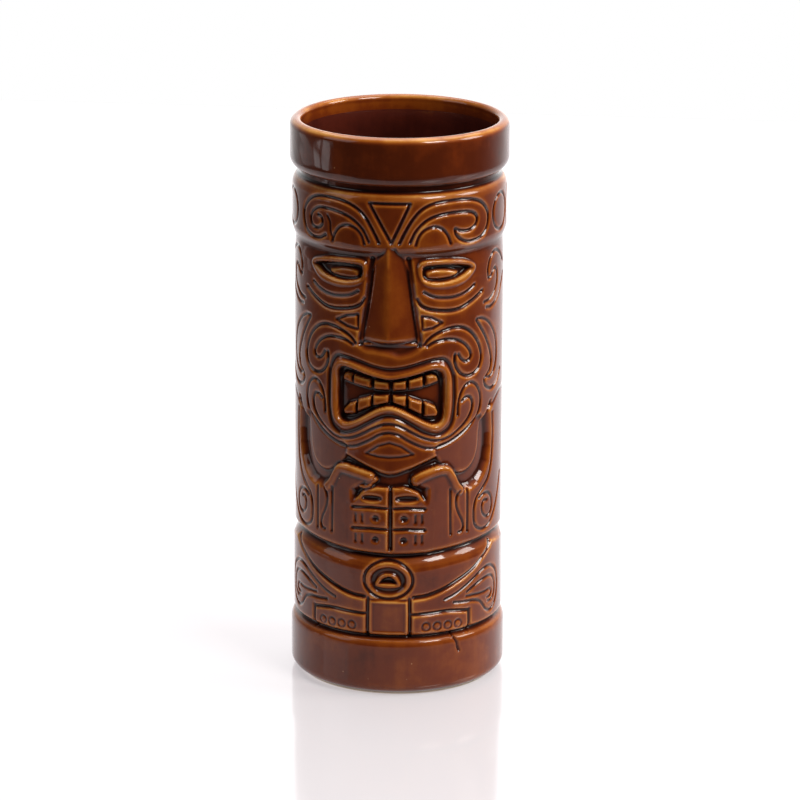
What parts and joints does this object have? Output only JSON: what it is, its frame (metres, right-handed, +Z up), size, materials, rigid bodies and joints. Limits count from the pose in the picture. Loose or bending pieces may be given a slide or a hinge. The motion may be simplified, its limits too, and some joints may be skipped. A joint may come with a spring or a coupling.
{
  "type": "tiki mug",
  "caption": "Tall cylindrical ceramic tiki mug with a carved idol face, arms and squatting legs in relief under a glossy amber-brown glaze, plain rim and base bands, open top for drinks.",
  "frame": {"origin": "centre of the foot ring, on the plane the mug stands on", "axes": "+Z up along the mug's axis; the carved face looks along -Y; +X is on the right of someone facing the face"},
  "size_m": [0.0668, 0.0668, 0.175],
  "materials": {
    "amber_glaze": "transparent amber-brown gloss glaze over relief, honey on the crests and dark in the cuts",
    "liner_glaze": "gloss, dark red-brown",
    "bare_clay": "unglazed, wiped matt buff clay"
  },
  "bodies": {
    "root": {"arm_left": "amber_glaze", "arm_right": "amber_glaze", "back": "amber_glaze", "back_of_head": "amber_glaze", "base_band": "amber_glaze", "belly": "amber_glaze", "belly_ring": "amber_glaze", "chest": "amber_glaze", "chest_blocks": "amber_glaze", "cup_floor": "bare_clay", "cup_wall": "amber_glaze", "eye_left": "amber_glaze", "eye_right": "amber_glaze", "face_plate": "amber_glaze", "foot_left": "amber_glaze", "foot_right": "amber_glaze", "foot_ring": "bare_clay", "forehead_band": "amber_glaze", "hips": "amber_glaze", "leg_left": "amber_glaze", "leg_right": "amber_glaze", "liner_glaze": "liner_glaze", "loin_flap": "amber_glaze", "lower_teeth": "amber_glaze", "mouth_lips": "amber_glaze", "nose": "amber_glaze", "rim_band": "amber_glaze", "upper_teeth": "amber_glaze"}
  },
  "joints": []
}
